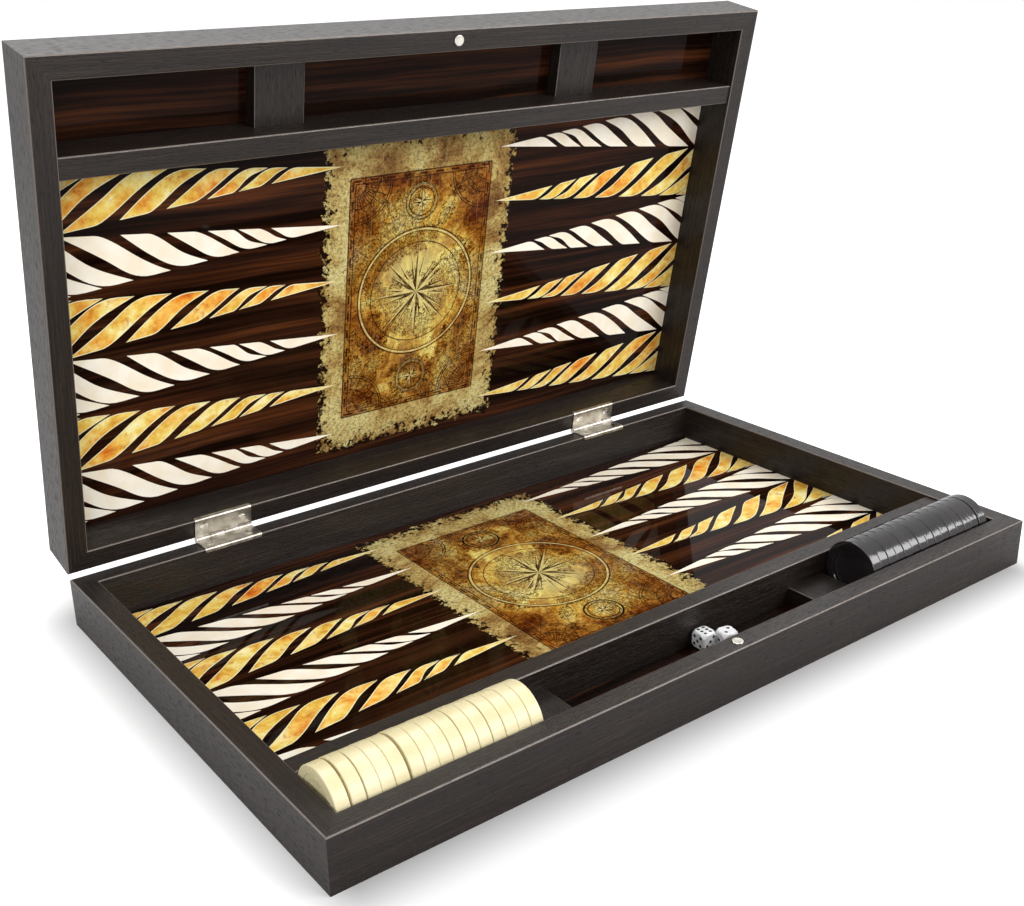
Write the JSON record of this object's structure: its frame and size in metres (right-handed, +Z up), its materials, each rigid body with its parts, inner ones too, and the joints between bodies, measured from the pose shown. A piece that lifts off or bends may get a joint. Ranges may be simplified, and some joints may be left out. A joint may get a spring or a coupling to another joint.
{
  "type": "folding backgammon board",
  "caption": "Folding backgammon case on a pair of hinges, with striped points, a side channel with wells, round checkers and dice.",
  "frame": {"origin": "centre of the base's flat underside", "axes": "+X along the hinge edge, +Y towards the hinges, +Z up, with the base lying flat and the lid open"},
  "size_m": [0.5, 0.3311, 0.3322],
  "materials": {
    "case_wood": "satin",
    "playing_panel": "gloss",
    "divider_wood": "satin",
    "point_stripes": "gloss",
    "magnet": "polished",
    "hinge_metal": "satin",
    "ivory_checkers": "gloss",
    "black_checkers": "gloss",
    "dice": "gloss"
  },
  "bodies": {
    "base": {"base_front_rail": "case_wood", "base_back_rail": "case_wood", "base_left_rail": "case_wood", "base_right_rail": "case_wood", "base_panel": "playing_panel", "base_divider": "divider_wood", "base_left_block": "divider_wood", "base_right_block": "divider_wood", "base_magnet": "magnet", "base_points": "point_stripes", "base_hinge_screws": "hinge_metal", "left_hinge_base_leaf": "hinge_metal", "right_hinge_base_leaf": "hinge_metal", "left_hinge_pin": "hinge_metal", "right_hinge_pin": "hinge_metal"},
    "lid": {"lid_front_rail": "case_wood", "lid_back_rail": "case_wood", "lid_left_rail": "case_wood", "lid_right_rail": "case_wood", "lid_panel": "playing_panel", "lid_divider": "divider_wood", "lid_left_block": "divider_wood", "lid_right_block": "divider_wood", "lid_magnet": "magnet", "lid_points": "point_stripes", "lid_hinge_screws": "hinge_metal", "left_hinge_lid_leaf": "hinge_metal", "right_hinge_lid_leaf": "hinge_metal"},
    "ivory_checker_01": {"ivory_checker_01": "ivory_checkers"},
    "ivory_checker_02": {"ivory_checker_02": "ivory_checkers"},
    "ivory_checker_03": {"ivory_checker_03": "ivory_checkers"},
    "ivory_checker_04": {"ivory_checker_04": "ivory_checkers"},
    "ivory_checker_05": {"ivory_checker_05": "ivory_checkers"},
    "ivory_checker_06": {"ivory_checker_06": "ivory_checkers"},
    "ivory_checker_07": {"ivory_checker_07": "ivory_checkers"},
    "ivory_checker_08": {"ivory_checker_08": "ivory_checkers"},
    "ivory_checker_09": {"ivory_checker_09": "ivory_checkers"},
    "ivory_checker_10": {"ivory_checker_10": "ivory_checkers"},
    "ivory_checker_11": {"ivory_checker_11": "ivory_checkers"},
    "ivory_checker_12": {"ivory_checker_12": "ivory_checkers"},
    "ivory_checker_13": {"ivory_checker_13": "ivory_checkers"},
    "ivory_checker_14": {"ivory_checker_14": "ivory_checkers"},
    "ivory_checker_15": {"ivory_checker_15": "ivory_checkers"},
    "black_checker_01": {"black_checker_01": "black_checkers"},
    "black_checker_02": {"black_checker_02": "black_checkers"},
    "black_checker_03": {"black_checker_03": "black_checkers"},
    "black_checker_04": {"black_checker_04": "black_checkers"},
    "black_checker_05": {"black_checker_05": "black_checkers"},
    "black_checker_06": {"black_checker_06": "black_checkers"},
    "black_checker_07": {"black_checker_07": "black_checkers"},
    "black_checker_08": {"black_checker_08": "black_checkers"},
    "black_checker_09": {"black_checker_09": "black_checkers"},
    "black_checker_10": {"black_checker_10": "black_checkers"},
    "black_checker_11": {"black_checker_11": "black_checkers"},
    "black_checker_12": {"black_checker_12": "black_checkers"},
    "black_checker_13": {"black_checker_13": "black_checkers"},
    "black_checker_14": {"black_checker_14": "black_checkers"},
    "black_checker_15": {"black_checker_15": "black_checkers"},
    "left_die": {"left_die": "dice"},
    "right_die": {"right_die": "dice"}
  },
  "joints": [
    {"name": "lid_hinge", "type": "hinge", "parent": "base", "child": "lid", "pos_m": [0, 0.1509, 0.031], "axis": [-1, 0, 0], "range_deg": [-78.87, 101.13]},
    {"name": "ivory_checker_01_lift", "type": "slide", "parent": "base", "child": "ivory_checker_01", "axis": [0, 0, 1], "range_m": [0, 0.05]},
    {"name": "ivory_checker_02_lift", "type": "slide", "parent": "base", "child": "ivory_checker_02", "axis": [0, 0, 1], "range_m": [0, 0.05]},
    {"name": "ivory_checker_03_lift", "type": "slide", "parent": "base", "child": "ivory_checker_03", "axis": [0, 0, 1], "range_m": [0, 0.05]},
    {"name": "ivory_checker_04_lift", "type": "slide", "parent": "base", "child": "ivory_checker_04", "axis": [0, 0, 1], "range_m": [0, 0.05]},
    {"name": "ivory_checker_05_lift", "type": "slide", "parent": "base", "child": "ivory_checker_05", "axis": [0, 0, 1], "range_m": [0, 0.05]},
    {"name": "ivory_checker_06_lift", "type": "slide", "parent": "base", "child": "ivory_checker_06", "axis": [0, 0, 1], "range_m": [0, 0.05]},
    {"name": "ivory_checker_07_lift", "type": "slide", "parent": "base", "child": "ivory_checker_07", "axis": [0, 0, 1], "range_m": [0, 0.05]},
    {"name": "ivory_checker_08_lift", "type": "slide", "parent": "base", "child": "ivory_checker_08", "axis": [0, 0, 1], "range_m": [0, 0.05]},
    {"name": "ivory_checker_09_lift", "type": "slide", "parent": "base", "child": "ivory_checker_09", "axis": [0, 0, 1], "range_m": [0, 0.05]},
    {"name": "ivory_checker_10_lift", "type": "slide", "parent": "base", "child": "ivory_checker_10", "axis": [0, 0, 1], "range_m": [0, 0.05]},
    {"name": "ivory_checker_11_lift", "type": "slide", "parent": "base", "child": "ivory_checker_11", "axis": [0, 0, 1], "range_m": [0, 0.05]},
    {"name": "ivory_checker_12_lift", "type": "slide", "parent": "base", "child": "ivory_checker_12", "axis": [0, 0, 1], "range_m": [0, 0.05]},
    {"name": "ivory_checker_13_lift", "type": "slide", "parent": "base", "child": "ivory_checker_13", "axis": [0, 0, 1], "range_m": [0, 0.05]},
    {"name": "ivory_checker_14_lift", "type": "slide", "parent": "base", "child": "ivory_checker_14", "axis": [0, 0, 1], "range_m": [0, 0.05]},
    {"name": "ivory_checker_15_lift", "type": "slide", "parent": "base", "child": "ivory_checker_15", "axis": [0, 0, 1], "range_m": [0, 0.05]},
    {"name": "black_checker_01_lift", "type": "slide", "parent": "base", "child": "black_checker_01", "axis": [0, 0, 1], "range_m": [0, 0.05]},
    {"name": "black_checker_02_lift", "type": "slide", "parent": "base", "child": "black_checker_02", "axis": [0, 0, 1], "range_m": [0, 0.05]},
    {"name": "black_checker_03_lift", "type": "slide", "parent": "base", "child": "black_checker_03", "axis": [0, 0, 1], "range_m": [0, 0.05]},
    {"name": "black_checker_04_lift", "type": "slide", "parent": "base", "child": "black_checker_04", "axis": [0, 0, 1], "range_m": [0, 0.05]},
    {"name": "black_checker_05_lift", "type": "slide", "parent": "base", "child": "black_checker_05", "axis": [0, 0, 1], "range_m": [0, 0.05]},
    {"name": "black_checker_06_lift", "type": "slide", "parent": "base", "child": "black_checker_06", "axis": [0, 0, 1], "range_m": [0, 0.05]},
    {"name": "black_checker_07_lift", "type": "slide", "parent": "base", "child": "black_checker_07", "axis": [0, 0, 1], "range_m": [0, 0.05]},
    {"name": "black_checker_08_lift", "type": "slide", "parent": "base", "child": "black_checker_08", "axis": [0, 0, 1], "range_m": [0, 0.05]},
    {"name": "black_checker_09_lift", "type": "slide", "parent": "base", "child": "black_checker_09", "axis": [0, 0, 1], "range_m": [0, 0.05]},
    {"name": "black_checker_10_lift", "type": "slide", "parent": "base", "child": "black_checker_10", "axis": [0, 0, 1], "range_m": [0, 0.05]},
    {"name": "black_checker_11_lift", "type": "slide", "parent": "base", "child": "black_checker_11", "axis": [0, 0, 1], "range_m": [0, 0.05]},
    {"name": "black_checker_12_lift", "type": "slide", "parent": "base", "child": "black_checker_12", "axis": [0, 0, 1], "range_m": [0, 0.05]},
    {"name": "black_checker_13_lift", "type": "slide", "parent": "base", "child": "black_checker_13", "axis": [0, 0, 1], "range_m": [0, 0.05]},
    {"name": "black_checker_14_lift", "type": "slide", "parent": "base", "child": "black_checker_14", "axis": [0, 0, 1], "range_m": [0, 0.05]},
    {"name": "black_checker_15_lift", "type": "slide", "parent": "base", "child": "black_checker_15", "axis": [0, 0, 1], "range_m": [0, 0.05]},
    {"name": "left_die_lift", "type": "slide", "parent": "base", "child": "left_die", "axis": [0, 0, 1], "range_m": [0, 0.05]},
    {"name": "right_die_lift", "type": "slide", "parent": "base", "child": "right_die", "axis": [0, 0, 1], "range_m": [0, 0.05]}
  ]
}
